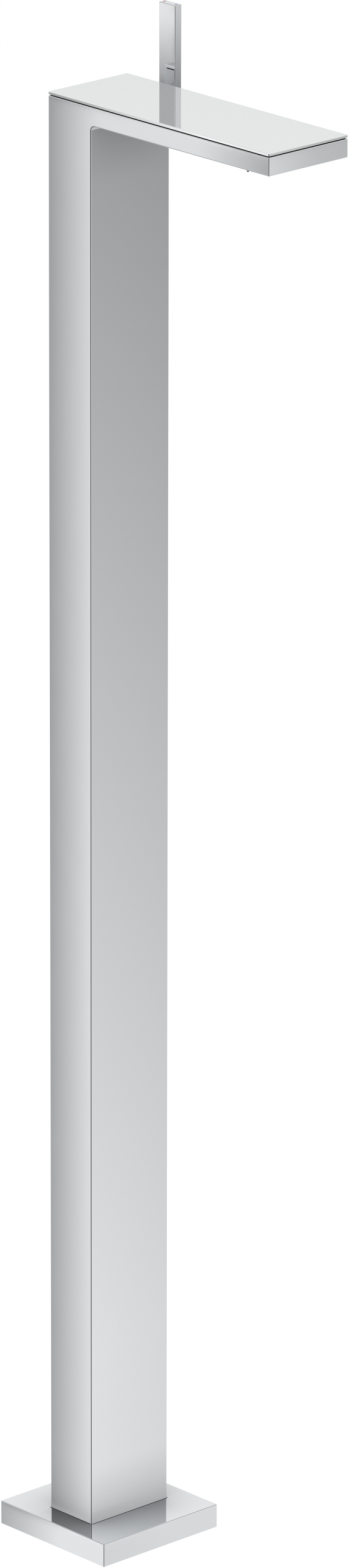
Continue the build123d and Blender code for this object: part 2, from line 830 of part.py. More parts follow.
def nozzle_places():
    """Staggered rows, the middle one longest."""
    pitch = 2 * (half_width - nozzle_side_inset) / (nozzles_in_middle_row - 1)
    places = []
    for row in range(nozzle_rows):
        from_middle = row - (nozzle_rows - 1) // 2
        count = nozzles_in_middle_row - abs(from_middle)
        y = outlet_y + from_middle * nozzle_row_pitch
        places += [((index - (count - 1) / 2) * pitch, y) for index in range(count)]
    return places


def nozzles(radius, z):
    return [rod(radius, z, x, y) for x, y in nozzle_places()]


def spray_face():
    """The chromed tray in the spout's underside, with a hole for each nozzle."""
    face_y = (outlet_y - face_half_y, outlet_y + face_half_y)
    face = block((-face_half_x, face_half_x), face_y, (face_bottom_z, chamber_bottom_z))
    flange_y = (outlet_y - chamber_half_y, outlet_y + chamber_half_y)
    face += block((-face_half_x, face_half_x), flange_y, (spout_floor_z, chamber_bottom_z))
    mat_y = (outlet_y - mat_half_y, outlet_y + mat_half_y)
    face -= block((-face_half_x, face_half_x), mat_y, (face_top_z, chamber_bottom_z))
    for x, y in spray_screw_places():
        face -= spray_screw_hole((spout_floor_z, chamber_bottom_z), x, y)
    return face - nozzles(nozzle_radius + nozzle_clearance, (face_bottom_z, face_top_z))


def nozzle_mat():
    """A silicone mat with a soft nozzle for each hole of the spray face."""
    mat_y = (outlet_y - mat_half_y, outlet_y + mat_half_y)
    mat = block((-face_half_x, face_half_x), mat_y, (face_top_z, chamber_bottom_z))
    tip_z = spout_under_z - nozzle_below_spout
    mat += nozzles(nozzle_radius, (tip_z, face_top_z))
    return mat - nozzles(nozzle_bore_radius, (tip_z, chamber_bottom_z))


# The supply hoses inside the column


def inlet_places():
    """The inlets side by side over the floor opening, hot on the user's left."""
    return {"hot": (-inlet_spacing / 2, 0.0), "cold": (inlet_spacing / 2, 0.0)}


def hose(name):
    """A braided hose that leaves the block, slants across and runs straight down to its inlet."""
    top_x, top_y = supply_places()[name]
    low_x, low_y = inlet_places()[name]
    bend_z = hose_top_z - hose_top_run
    points = [
        (top_x, top_y, hose_top_z),
        (top_x, top_y, bend_z),
        (low_x, low_y, bend_z - hose_slant_run),
        (low_x, low_y, hose_bottom_z),
    ]
    path = FilletPolyline(*points, radius=hose_bend_radius)
    start = Plane(origin=points[0], z_dir=(0, 0, -1))
    return sweep(start * Circle(hose_radius), path=path) - sweep(start * Circle(hose_bore_radius), path=path)


def hose_ferrules():
    """Pressed steel sleeves over both ends of both hoses."""
    tops = [(place, hose_top_z - ferrule_length) for place in supply_places().values()]
    lows = [(place, hose_bottom_z) for place in inlet_places().values()]
    sleeves = []
    for (x, y), bottom in tops + lows:
        z = (bottom, bottom + ferrule_length)
        sleeves.append(rod(hose_radius + ferrule_wall, z, x, y) - rod(hose_radius, z, x, y))
    return Compound(children=sleeves)


def block_nipples():
    """Brass fittings between the block's ports and the hoses."""
    fittings = []
    for x, y in supply_places().values():
        insert_top = block_bottom_z + fitting_insert
        fitting = rod(fitting_nipple, (block_bottom_z, insert_top), x, y)
        fitting += rod(fitting_radius, (hose_top_z, block_bottom_z), x, y)
        fitting += rod(hose_bore_radius, (hose_top_z - barb_length, hose_top_z), x, y)
        fitting -= rod(nipple_bore_radius, (hose_top_z - barb_length, insert_top), x, y)
        fittings.append(fitting - Pos(x, y, insert_top) * ring_groove(fitting_nipple, -nipple_groove_inset))
    return Compound(children=fittings)


def fitting_rings():
    """Rubber rings round the fittings, in the block's ports."""
    insert_top = block_bottom_z + fitting_insert
    ring = sealing_ring(fitting_nipple, -nipple_groove_inset)
    return Compound(children=[Pos(x, y, insert_top) * ring for x, y in supply_places().values()])


def inlet_tails():
    """Brass tails under the hoses, each with the collar that its union nut pulls on."""
    tails = []
    for x, y in inlet_places().values():
        tail = rod(inlet_bore_radius, (collar_z, shoulder_z), x, y)
        tail += rod(tail_radius, (shoulder_z, hose_bottom_z), x, y)
        tail += rod(hose_bore_radius, (hose_bottom_z, hose_bottom_z + barb_length), x, y)
        tails.append(tail - rod(nipple_bore_radius, (collar_z, hose_bottom_z + barb_length), x, y))
    return Compound(children=tails)


def union_nuts():
    """Hexagon nuts that turn on the tails, open downwards for the supply's threaded ends."""
    nuts = []
    for x, y in inlet_places().values():
        hexagon = RegularPolygon(nut_across_flats / 2, 6, major_radius=False)
        nut = Pos(x, y, nut_bottom_z) * extrude(hexagon, nut_height)
        thread_top = nut_bottom_z + inlet_thread_length
        nut -= rod(inlet_bore_radius, (nut_bottom_z, thread_top), x, y)
        nut -= rod(inlet_bore_radius + nut_recess_step, (thread_top, shoulder_z), x, y)
        nuts.append(nut - rod(tail_radius + thread_clearance, (shoulder_z, nut_top_z), x, y))
    return Compound(children=nuts)


def filter_washers():
    """Rubber washers with a strainer, under the tails' collars."""
    z = (filter_z, collar_z)
    places = inlet_places().values()
    washers = [rod(filter_radius, z, x, y) - rod(filter_bore_radius, z, x, y) for x, y in places]
    return Compound(children=washers)


def hose_spacers():
    """Foam blocks that keep the hoses quiet and apart inside the column."""
    spacers = []
    for height in hose_spacer_heights:
        z = (height, height + hose_spacer_thickness)
        spacer = slab(inner_x - spacer_clearance, inner_y - spacer_clearance, z)
        for x, y in inlet_places().values():
            spacer -= rod(hose_radius + hose_spacer_fit, z, x, y)
        spacers.append(spacer)
    return Compound(children=spacers)


pieces = {
    "mounting_foot": mounting_foot,
    "foot_gasket": foot_gasket,
    "column_grub_screws": column_grub_screws,
    "base_cover": base_cover,
    "cover_seal": cover_seal,
    "body_shell": body_shell,
    "glass_plate": glass_plate,
    "bonding_sheet": bonding_sheet,
    "plate_carrier": plate_carrier,
    "carrier_screws": carrier_screws,
    "valve_block": valve_block,
    "block_spacer": block_spacer,
    "cartridge_base_seal": cartridge_base_seal,
    "cartridge_base": cartridge_base,
    "cartridge_housing": cartridge_housing,
    "fixed_disc": fixed_disc,
    "moving_disc": moving_disc,
    "disc_coupler": disc_coupler,
    "stem_guide": stem_guide,
    "pivot_pin": pivot_pin,
    "lever_stem": lever_stem,
    "clamp_ring": clamp_ring,
    "dome_sleeve": dome_sleeve,
    "handle_hub": handle_hub,
    "hub_grub_screw": hub_grub_screw,
    "hub_plug": hub_plug,
    "lever_bar": lever_bar,
    "hot_mark": lambda: colour_mark("hot"),
    "cold_mark": lambda: colour_mark("cold"),
    "spout_waterway": spout_waterway,
    "waterway_rings": waterway_rings,
    "flow_limiter": flow_limiter,
    "spray_chamber": spray_chamber,
    "spray_screws": spray_screws,
    "spray_face": spray_face,
    "nozzle_mat": nozzle_mat,
    "hot_hose": lambda: hose("hot"),
    "cold_hose": lambda: hose("cold"),
    "hose_ferrules": hose_ferrules,
    "block_nipples": block_nipples,
    "fitting_rings": fitting_rings,
    "inlet_tails": inlet_tails,
    "union_nuts": union_nuts,
    "filter_washers": filter_washers,
    "hose_spacers": hose_spacers,
}

os.makedirs("parts", exist_ok=True)
for name, make in pieces.items():
    export_step(make(), f"parts/{name}.step")
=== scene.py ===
import json
from math import cos, radians, sin

import bpy
from mathutils import Matrix, Vector

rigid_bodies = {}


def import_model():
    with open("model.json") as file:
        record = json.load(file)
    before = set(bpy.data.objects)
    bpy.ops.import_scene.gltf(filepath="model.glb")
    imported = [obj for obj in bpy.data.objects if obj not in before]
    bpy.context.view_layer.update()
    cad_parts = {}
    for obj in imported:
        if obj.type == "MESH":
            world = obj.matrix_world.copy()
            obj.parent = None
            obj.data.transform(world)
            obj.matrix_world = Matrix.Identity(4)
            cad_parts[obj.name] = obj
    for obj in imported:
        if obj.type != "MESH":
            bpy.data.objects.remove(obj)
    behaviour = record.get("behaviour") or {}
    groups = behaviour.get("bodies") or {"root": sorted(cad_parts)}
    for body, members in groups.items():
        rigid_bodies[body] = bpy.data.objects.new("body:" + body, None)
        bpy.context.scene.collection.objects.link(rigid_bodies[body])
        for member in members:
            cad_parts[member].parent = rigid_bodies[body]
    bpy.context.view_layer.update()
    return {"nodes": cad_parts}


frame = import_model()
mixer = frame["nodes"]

# The studio: a camera high on the mixer's front left, a plain pale floor, a soft lamp and a white
# sky. Grey boards stand two metres and more away on each side. Only polished surfaces see them, and
# they give the chrome its long soft gradients.

camera_place = Vector((-5.04074, -5.52084, 3.14840))
camera_aim = Vector((0.02406, -0.0480, 0.62089))
camera_roll = radians(0.1205)
camera_back = (camera_place - camera_aim).normalized()
level_right = Vector((0.0, 0.0, 1.0)).cross(camera_back).normalized()
level_up = camera_back.cross(level_right)
camera_right = cos(camera_roll) * level_right + sin(camera_roll) * level_up
camera_up = cos(camera_roll) * level_up - sin(camera_roll) * level_right

studio = bpy.context.scene.collection.objects
studio_camera = bpy.data.objects.new("studio_camera", bpy.data.cameras.new("studio_camera"))
studio_camera.data.lens = 236.45
studio_camera.data.sensor_width = 36.0
studio_camera.data.clip_end = 100.0
camera_turn = Matrix((camera_right, camera_up, camera_back)).transposed().to_4x4()
studio_camera.matrix_world = Matrix.Translation(camera_place) @ camera_turn
studio.link(studio_camera)
bpy.context.scene.camera = studio_camera
bpy.context.scene.view_settings.view_transform = "Standard"


class Bench:
    """A node tree to work on. Each value that it is given is a plain value or a socket to join."""

    def __init__(self, tree):
        self.tree = tree

    def give(self, socket, value):
        if isinstance(value, bpy.types.NodeSocket):
            self.tree.links.new(value, socket)
        else:
            socket.default_value = value

    def add(self, kind, settings=None, inputs=(), **values):
        """A node with its settings, its first inputs in order, and its other inputs by name."""
        node = self.tree.nodes.new(kind)
        for setting, value in (settings or {}).items():
            setattr(node, setting, value)
        for socket, value in zip(node.inputs, inputs):
            self.give(socket, value)
        for name, value in values.items():
            self.give(node.inputs[name.replace("_", " ")], value)
        return node

    def math(self, operation, *terms, clamp=False):
        settings = {"operation": operation, "use_clamp": clamp}
        return self.add("ShaderNodeMath", settings, terms).outputs["Value"]

    def alignment(self, one, other):
        """1 where two directions agree, 0 where they are square to each other."""
        settings = {"operation": "DOT_PRODUCT"}
        return self.add("ShaderNodeVectorMath", settings, (one, other)).outputs["Value"]

    def spread(self, value, start, end, low=0.0, high=1.0):
        """Low where the value is at start, high where it is at end."""
        limits = {"From_Min": start, "From_Max": end, "To_Min": low, "To_Max": high}
        return self.add("ShaderNodeMapRange", Value=value, **limits).outputs["Result"]

    def between(self, share, one, other, blend="MIX"):
        """A colour on the way from one to the other."""
        settings = {"data_type": "RGBA", "blend_type": blend}
        return self.add("ShaderNodeMix", settings, Factor=share, A=one, B=other).outputs["Result"]

    def product(self, one, other):
        return self.between(1.0, one, other, "MULTIPLY")

    def graded(self, value, stops):
        """A ramp of plain greys: the stops are (place, grey) along the value."""
        ramp = self.add("ShaderNodeValToRGB", Fac=value)
        elements = ramp.color_ramp.elements
        while len(elements) < len(stops):
            elements.new(0.5)
        for element, (place, grey) in zip(elements, stops):
            element.position = place
            element.color = (grey, grey, grey, 1.0)
        return ramp.outputs["Color"]

    def place(self, space="Object"):
        return self.add("ShaderNodeTexCoord").outputs[space]


def emptied(owner):
    """The bench of a material or a world, with nothing on it yet."""
    owner.use_nodes = True
    owner.node_tree.nodes.clear()
    return Bench(owner.node_tree)


def flat_board(name, corners):
    """A rectangle through four corners that is part of the studio."""
    mesh = bpy.data.meshes.new(name)
    mesh.from_pydata(corners, [], [(0, 1, 2, 3)])
    board = bpy.data.objects.new(name, mesh)
    studio.link(board)
    return board


floor_reach = 30.0
floor_corners = [(-floor_reach, -floor_reach, 0.0), (floor_reach, -floor_reach, 0.0)]
floor_corners += [(floor_reach, floor_reach, 0.0), (-floor_reach, floor_reach, 0.0)]
floor_grey = (0.85, 0.85, 0.85, 1.0)
floor_grey_seen = (0.12, 0.12, 0.12, 1.0)
floor_glow_seen = 0.91
studio_floor = flat_board("studio_floor", floor_corners)
studio_floor.visible_glossy = False
floor_paint = bpy.data.materials.new("floor_paint")
on = emptied(floor_paint)
seen = on.add("ShaderNodeLightPath").outputs["Is Camera Ray"]
painted = on.add("ShaderNodeBsdfDiffuse", Color=on.between(seen, floor_grey, floor_grey_seen))
glow = on.add("ShaderNodeEmission", Strength=on.math("MULTIPLY", seen, floor_glow_seen))
both = on.add("ShaderNodeAddShader", inputs=(painted.outputs["BSDF"], glow.outputs["Emission"]))
on.add("ShaderNodeOutputMaterial", Surface=both.outputs["Shader"])
studio_floor.data.materials.append(floor_paint)

even_sky_level = 0.72
# Greys of the polished surfaces' sky, from straight down, at 0, to straight up, at 1.
sky_greys = [(0.0, 0.1), (0.06, 0.15), (0.15, 0.75), (0.7, 0.85), (1.0, 1.0)]
# Two directions where that sky is dimmer, each with stops of (how near to it, grey).
dim_corners = [
    ((-0.733, -0.679, -0.030), [(0.0, 1.0), (0.7, 1.0), (0.86, 0.4), (1.0, 0.4)]),
    ((0.660, 0.700, -0.270), [(0.0, 1.0), (0.85, 1.0), (0.94, 0.75), (1.0, 0.75)]),
]
studio_sky = bpy.data.worlds.new("studio_sky")
bpy.context.scene.world = studio_sky
on = emptied(studio_sky)
rays = on.add("ShaderNodeLightPath").outputs
direction = on.place("Generated")
height = on.add("ShaderNodeSeparateXYZ", Vector=direction).outputs["Z"]
greys = on.graded(on.spread(height, -1.0, 1.0), sky_greys)
for corner, stops in dim_corners:
    greys = on.product(greys, on.graded(on.alignment(direction, corner), stops))
seen_sky = on.add("ShaderNodeBackground", Color=(1.0, 1.0, 1.0, 1.0), Strength=1.0).outputs[0]
even_sky = on.add("ShaderNodeBackground", Color=(1.0, 1.0, 1.0, 1.0), Strength=even_sky_level).outputs[0]
polished_sky = on.add("ShaderNodeBackground", Color=greys, Strength=1.0).outputs[0]
unseen = on.add("ShaderNodeMixShader", inputs=(rays["Is Glossy Ray"], even_sky, polished_sky)).outputs[0]
whole = on.add("ShaderNodeMixShader", inputs=(rays["Is Camera Ray"], unseen, seen_sky)).outputs[0]
on.add("ShaderNodeOutputWorld", Surface=whole)

soft_lamp = bpy.data.objects.new("soft_lamp", bpy.data.lights.new("soft_lamp", "AREA"))
soft_lamp.data.shape = "DISK"
soft_lamp.data.size = 2.4
soft_lamp.data.energy = 40.0
soft_lamp.location = (-1.6, -1.2, 3.4)
lamp_aim = Vector((0.0, 0.0, 0.6))
soft_lamp.rotation_euler = (lamp_aim - soft_lamp.location).to_track_quat("-Z", "Y").to_euler()
soft_lamp.visible_glossy = False
soft_lamp.visible_camera = False
studio.link(soft_lamp)


def glowing_board(name, axis, at, across, upwards):
    """A board along X or Y that only polished surfaces see, its grey changing across it and up it.

    The stops of both gradients are (place in metres, grey), and the board ends at the last ones.
    """
    (left, _), (right, _) = across[0], across[-1]
    (foot, _), (head, _) = upwards[0], upwards[-1]
    ring = [(left, foot), (right, foot), (right, head), (left, head)]
    board = flat_board(name, [(run, at, z) if axis == "X" else (at, run, z) for run, z in ring])
    board.visible_camera = False
    board.visible_diffuse = False
    board.visible_shadow = False
    board.visible_transmission = False
    glowing = bpy.data.materials.new(name)
    on = emptied(glowing)
    split = on.add("ShaderNodeSeparateXYZ", Vector=on.place()).outputs
    greys = []
    for along, stops in ((axis, across), ("Z", upwards)):
        first, last = stops[0][0], stops[-1][0]
        shares = [((metres - first) / (last - first), grey) for metres, grey in stops]
        greys.append(on.graded(on.spread(split[along], first, last), shares))
    glow = on.add("ShaderNodeEmission", Color=on.product(*greys), Strength=1.0)
    on.add("ShaderNodeOutputMaterial", Surface=glow.outputs["Emission"])
    glowing.cycles.emission_sampling = "NONE"
    board.data.materials.append(glowing)


# The main boards stand two metres off. Strips stand 1 cm in front of them, where one piece mirrors
# another grey than its neighbour does. These are the strips' ends, in metres along the boards: at
# the lever's upright edge, at the plate's foot, and at the floor cover's top.
boards_at, strips_at, far_boards_at = -2.0, -1.99, 2.6
lever_edge = 2.2035
left_plate_foot, right_plate_foot = 0.388, 0.4988
left_cover_top, right_cover_top = -1.197, -1.0875

# On the left: the main board, a low one for the floor cover's side, a high one that the cover's top
# sees by way of the column, and one each for the lever's inner face and the plate's long edge.
glowing_board(
    "left_board", "Y", boards_at,
    across=[(1.55, 0.1), (1.8, 0.25), (1.97, 0.8), (2.12, 0.8), (2.2, 0.35), (2.6, 0.35)],
    upwards=[(-1.6, 1.1), (-0.9, 1.1), (0.3, 1.0), (1.7, 1.0), (1.8, 0.85), (3.2, 0.85)],
)
glowing_board(
    "low_left_board", "Y", strips_at,
    across=[(1.6, 0.85), (2.13, 0.85), (2.25, 0.35), (2.6, 0.35)],
    upwards=[(-1.6, 1.0), (left_cover_top, 1.0)],
)
glowing_board(
    "far_left_board", "Y", strips_at,
    across=[(2.1, 0.5), (2.2, 0.2), (2.25, 0.2)],
    upwards=[(1.05, 1.0), (1.5, 1.0)],
)
glowing_board(
    "lever_board", "Y", strips_at,
    across=[(lever_edge, 1.0), (2.6, 1.0)],
    upwards=[(0.355, 0.35), (0.43, 0.85), (0.8, 0.85)],
)
glowing_board(
    "plate_board", "Y", strips_at,
    across=[(1.7, 0.75), (1.95, 1.1), (2.13, 0.3), (lever_edge, 0.15)],
    upwards=[(left_plate_foot, 1.0), (0.8, 1.0)],
)

# On the right, in front: the same for the column's front, with strips for the spout's tip, the
# plate's short edge and the lever's narrow side.
glowing_board(
    "right_board", "X", boards_at,
    across=[(1.3, 1.0), (1.7, 1.0), (1.9, 0.85), (2.4, 0.85)],
    upwards=[(-1.6, 0.85), (-0.9, 0.85), (0.4, 0.4), (0.9, 0.8), (1.4, 0.8), (1.7, 0.65), (3.2, 0.65)],
)
glowing_board(
    "low_right_board", "X", strips_at,
    across=[(1.4, 0.6), (1.8, 0.75), (2.3, 0.8)],
    upwards=[(-1.6, 1.0), (right_cover_top, 1.0)],
)
glowing_board(
    "far_right_board", "X", strips_at,
    across=[(1.7, 1.1), (1.85, 0.6), (1.9, 0.5)],
    upwards=[(0.95, 1.0), (1.4, 1.0)],
)
glowing_board(
    "front_board", "X", strips_at,
    across=[(1.55, 0.9), (1.7, 0.55), (1.88, 0.4)],
    upwards=[(0.43, 1.0), (right_plate_foot, 1.0)],
)
glowing_board(
    "plate_front_board", "X", strips_at,
    across=[(1.55, 0.7), (1.7, 0.4), (1.88, 0.25)],
    upwards=[(right_plate_foot, 1.0), (0.8, 1.0)],
)
glowing_board(
    "lever_side_board", "X", strips_at,
    across=[(1.88, 1.0), (2.3, 1.0)],
    upwards=[(0.43, 0.25), (0.52, 0.6), (0.8, 0.6)],
)

# Behind and beside the mixer: what its rounded far corners see.
glowing_board(
    "rear_board", "X", far_boards_at,
    across=[(-2.0, 0.35), (1.2, 0.35)],
    upwards=[(-1.6, 1.0), (0.22, 1.0), (0.36, 2.2), (0.9, 2.2)],
)
glowing_board(
    "side_board", "Y", far_boards_at,
    across=[(-2.0, 1.0), (1.0, 1.0)],
    upwards=[(-1.6, 0.75), (-0.9, 0.75), (0.3, 0.35), (0.36, 0.6), (0.9, 0.6)],
)


# The floor fixing: a zinc-plated steel foot on a rubber sheet, bolted to the floor through its four
# holes. Its post stands in the column, and four stainless grub screws clamp the column to it. The
# floor cover hides it all.


def effect(name, takes, gives):
    """A new node group with named sockets, its bench, its inner outputs and its inner inputs."""
    tree = bpy.data.node_groups.new(name, "ShaderNodeTree")
    for socket, (kind, value) in takes.items():
        made = tree.interface.new_socket(socket, in_out="INPUT", socket_type="NodeSocket" + kind)
        made.default_value = value
    for socket, kind in gives.items():
        tree.interface.new_socket(socket, in_out="OUTPUT", socket_type="NodeSocket" + kind)
    on = Bench(tree)
    return tree, on, on.add("NodeGroupInput").outputs, on.add("NodeGroupOutput").inputs


def use(on, group, **values):
    """The outputs of an effect in a material, with the material's own values."""
    return on.add("ShaderNodeGroup", {"node_tree": group}, **values).outputs


def new_finish(name, **plain):
    """A material with one shader, whose even values are set on the shader's own sockets."""
    finish = bpy.data.materials.new(name)
    on = emptied(finish)
    shader = on.add("ShaderNodeBsdfPrincipled", **plain)
    on.add("ShaderNodeOutputMaterial", Surface=shader.outputs["BSDF"])
    return finish, on, shader


def fed(on, shader, colour, roughness, height=None, depth=0.0):
    """Joins the colour and roughness to the shader, and a height through a bump that deep in metres."""
    on.give(shader.inputs["Base Color"], colour)
    on.give(shader.inputs["Roughness"], roughness)
    if height is not None:
        bump = on.add("ShaderNodeBump", Strength=1.0, Distance=depth, Height=height)
        on.give(shader.inputs["Normal"], bump.outputs["Normal"])


def coat(finish, *pieces):
    """Puts the finish on the mixer's own pieces."""
    for piece in pieces:
        mixer[piece].data.materials[0] = finish


# Machined metal: fine turning lines, blotches of tarnish, and brighter rubbed edges.
machined, on, given, out = effect(
    "machined",
    takes={
        "Bright": ("Color", (0.8, 0.8, 0.8, 1.0)),
        "Dull": ("Color", (0.5, 0.5, 0.5, 1.0)),
        "Smoothest": ("Float", 0.2),
        "Roughest": ("Float", 0.5),
        "Blotches": ("Float", 90.0),
        "Lines": ("Float", 2600.0),
        "Edge": ("Float", 0.0006),
    },
    gives={"Color": "Color", "Roughness": "Float", "Height": "Float"},
)
place = on.place()
blotch = on.add("ShaderNodeTexNoise", Vector=place, Scale=given["Blotches"], Detail=5.0, Roughness=0.62)
tarnish = on.spread(blotch.outputs["Fac"], start=0.38, end=0.66)
stretched = on.add("ShaderNodeMapping", Vector=place, Scale=(0.06, 0.06, 1.0)).outputs["Vector"]
line = on.add("ShaderNodeTexNoise", Vector=stretched, Scale=given["Lines"], Detail=2.0)
rounded = on.add("ShaderNodeBevel", {"samples": 4}, Radius=given["Edge"]).outputs["Normal"]
flat = on.add("ShaderNodeNewGeometry").outputs["Normal"]
rubbed = on.spread(on.alignment(rounded, flat), start=0.97, end=0.80)
dulled = on.math("SUBTRACT", tarnish, rubbed, clamp=True)
on.give(out["Color"], on.between(dulled, given["Bright"], given["Dull"]))
on.give(out["Roughness"], on.spread(dulled, 0.0, 1.0, given["Smoothest"], given["Roughest"]))
on.give(out["Height"], line.outputs["Fac"])


def machined_metal(name, bright, dull, smoothest, roughest, blotches, line_depth):
    """Bare or plated metal as it comes from the lathe or the press."""
    finish, on, shader = new_finish(name, Metallic=1.0)
    work = use(
        on, machined, Bright=(*bright, 1.0), Dull=(*dull, 1.0),
        Smoothest=smoothest, Roughest=roughest, Blotches=blotches,
    )
    fed(on, shader, work["Color"], work["Roughness"], work["Height"], line_depth)
    return finish


zinc_steel = machined_metal(
    "zinc_steel", bright=(0.74, 0.76, 0.80), dull=(0.50, 0.51, 0.50),
    smoothest=0.28, roughest=0.52, blotches=140.0, line_depth=0.00001,
)
stainless = machined_metal(
    "stainless", bright=(0.72, 0.70, 0.67), dull=(0.58, 0.56, 0.53),
    smoothest=0.18, roughest=0.34, blotches=220.0, line_depth=0.000006,
)

# Moulded goods: a fine grain from the mould, slight flow marks in the colour, and soft sheen.
moulded, on, given, out = effect(
    "moulded",
    takes={
        "Colour": ("Color", (0.5, 0.5, 0.5, 1.0)),
        "Flow": ("Color", (0.4, 0.4, 0.4, 1.0)),
        "Smoothest": ("Float", 0.35),
        "Roughest": ("Float", 0.55),
        "Grain": ("Float", 2400.0),
    },
    gives={"Color": "Color", "Roughness": "Float", "Height": "Float"},
)
place = on.place()
flow = on.add("ShaderNodeTexNoise", Vector=place, Scale=45.0, Detail=3.0, Distortion=0.6).outputs["Fac"]
grain = on.add("ShaderNodeTexVoronoi", Vector=place, Scale=given["Grain"])
on.give(out["Color"], on.between(flow, given["Colour"], given["Flow"]))
on.give(out["Roughness"], on.spread(flow, 0.3, 0.7, given["Smoothest"], given["Roughest"]))
on.give(out["Height"], grain.outputs["Distance"])


def moulded_goods(name, colour, flow, smoothest, roughest, grain_depth, grain=2400.0, **plain):
    """Plastic, rubber or foam as it comes from the mould."""
    finish, on, shader = new_finish(name, Metallic=0.0, **plain)
    work = use(
        on, moulded, Colour=(*colour, 1.0), Flow=(*flow, 1.0),
        Smoothest=smoothest, Roughest=roughest, Grain=grain,
    )
    fed(on, shader, work["Color"], work["Roughness"], work["Height"], grain_depth)
    return finish


black_rubber = moulded_goods(
    "black_rubber", colour=(0.008, 0.008, 0.009), flow=(0.014, 0.014, 0.014),
    smoothest=0.55, roughest=0.75, grain_depth=0.00002,
)

coat(zinc_steel, "mounting_foot")
coat(black_rubber, "foot_gasket")
coat(stainless, "column_grub_screws")


# The floor cover: a square pressed brass cover, polished and chromed like the column, that slides
# up the column. A black rubber frame in its opening rubs lightly on the column and keeps water out.

# Polishing marks: soft smudges from a cloth, faint scratches, and the slow waves of a polished face.
polishing, on, given, out = effect(
    "polishing",
    takes={"Clearest": ("Float", 0.018), "Haziest": ("Float", 0.034), "Smudges": ("Float", 22.0)},
    gives={"Roughness": "Float", "Waves": "Float"},
)
place = on.place()
smudge = on.add(
    "ShaderNodeTexNoise", Vector=place, Scale=given["Smudges"], Detail=4.0, Roughness=0.55, Distortion=0.4
)
wiped = on.add("ShaderNodeMapping", Vector=place, Rotation=(0.5, 0.3, 0.2), Scale=(1.0, 1.0, 0.25))
hairline = on.add(
    "ShaderNodeTexVoronoi", {"feature": "DISTANCE_TO_EDGE"}, Vector=wiped.outputs["Vector"], Scale=160.0
)
scratch = on.spread(hairline.outputs["Distance"], start=0.0, end=0.01, low=0.12, high=0.0)
haze = on.math("ADD", smudge.outputs["Fac"], scratch)
wave = on.add("ShaderNodeTexNoise", Vector=place, Scale=26.0, Detail=1.0)
clouded = on.spread(haze, start=0.35, end=0.75, low=given["Clearest"], high=given["Haziest"])
on.give(out["Roughness"], clouded)
on.give(out["Waves"], wave.outputs["Fac"])

# Joint shade: painted shade, the chrome's colour darker close to another surface, by how closed in it is.
# It stands in for what polished metal mirrors in a corner. With Only upward at 1 it is on level tops
# alone.
joint_shade, on, given, out = effect(
    "joint_shade",
    takes={"Reach": ("Float", 0.05), "Depth": ("Float", 0.6), "Only upward": ("Float", 0.0)},
    gives={"Shade": "Color"},
)
open_share = on.add("ShaderNodeAmbientOcclusion", {"samples": 8}, Distance=given["Reach"]).outputs["AO"]
rise = on.add("ShaderNodeSeparateXYZ", Vector=on.place("Normal")).outputs["Z"]
upward_from = 0.5
level_top = on.math("GREATER_THAN", rise, upward_from)
wanted = on.math("MAXIMUM", level_top, on.math("SUBTRACT", 1.0, given["Only upward"]))
closed_in = on.math("MULTIPLY", on.math("SUBTRACT", 1.0, open_share), wanted)
darkened = on.math("MULTIPLY", closed_in, given["Depth"])
on.give(out["Shade"], on.math("SUBTRACT", 1.0, darkened, clamp=True))

# Corner dark reflection: a painted dark reflection, the chrome's colour darker along a rounded corner, by
# the direction that its surface faces.
# Crest is the brightness left on upright corners, and Rim on the level ones round a top.
corner_dark_reflection, on, given, out = effect(
    "corner_dark_reflection",
    takes={"Crest": ("Float", 1.0), "Rim": ("Float", 1.0)},
    gives={"Shade": "Color"},
)
facing = on.add("ShaderNodeSeparateXYZ", Vector=on.place("Normal")).outputs
diagonal = on.math("ABSOLUTE", on.math("MULTIPLY", facing["X"], facing["Y"]))
crest = on.spread(diagonal, start=0.28, end=0.42, low=1.0, high=given["Crest"])
slant_turning_back = 0.66
half_way = on.math("PINGPONG", facing["Z"], slant_turning_back)
slanted = on.math("MULTIPLY", half_way, on.math("GREATER_THAN", facing["Z"], 0.0))
rim = on.spread(slanted, start=0.34, end=0.48, low=1.0, high=given["Rim"])
on.give(out["Shade"], on.math("MULTIPLY", crest, rim))


def polished(name, darker, lighter, clouds, shades, work, wave_depth, **plain):
    """A mirror-bright finish: its colour between two tones, times its painted shade and dark reflections,
    and polishing marks.
    """
    finish, on, shader = new_finish(name, **plain)
    cloud = on.add("ShaderNodeTexNoise", Vector=on.place(), Scale=clouds, Detail=2.0)
    colour = on.between(cloud.outputs["Fac"], (*darker, 1.0), (*lighter, 1.0))
    for group, values in shades:
        colour = on.product(colour, use(on, group, **values)["Shade"])
    marks = use(on, polishing, **work)
    fed(on, shader, colour, marks["Roughness"], marks["Waves"], wave_depth)
    return finish


def chrome(name, reach, depth, crest, rim=1.0, only_upward=0.0):
    """Bright chromium over polished brass, with painted shade close to joints and painted dark
    reflections along rounded corners.
    """
    shades = [
        (joint_shade, {"Reach": reach, "Depth": depth, "Only_upward": only_upward}),
        (corner_dark_reflection, {"Crest": crest, "Rim": rim}),
    ]
    return polished(
        name, darker=(0.880, 0.899, 0.918), lighter=(0.900, 0.916, 0.932), clouds=7.0,
        shades=shades, work={}, wave_depth=0.000004, Metallic=1.0,
    )


# The cover's level top carries painted shade near the column, and its corners painted dark reflections.
cover_chrome = chrome("cover_chrome", reach=0.038, depth=0.85, crest=0.35, rim=0.5, only_upward=1.0)
coat(cover_chrome, "base_cover")
coat(black_rubber, "cover_seal")
# The column's faces show no image of the cover and what it hides, as in the photograph.
for piece in ("base_cover", "mounting_foot", "foot_gasket"):
    mixer[piece].visible_glossy = False


# The body shell: the column and the spout's trough, brass sheet brazed into one shell, ground flush
# and polished before it is chromed. It slides over the foot's post.

# Painted shade near joints and painted dark reflections along the upright corners.
body_chrome = chrome("body_chrome", reach=0.05, depth=0.8, crest=0.12)
coat(body_chrome, "body_shell")


# The valve block in the column's head: a brass block with the cartridge's pocket and the drilled
# water ways, pushed to the right wall by a moulded plastic spacer.

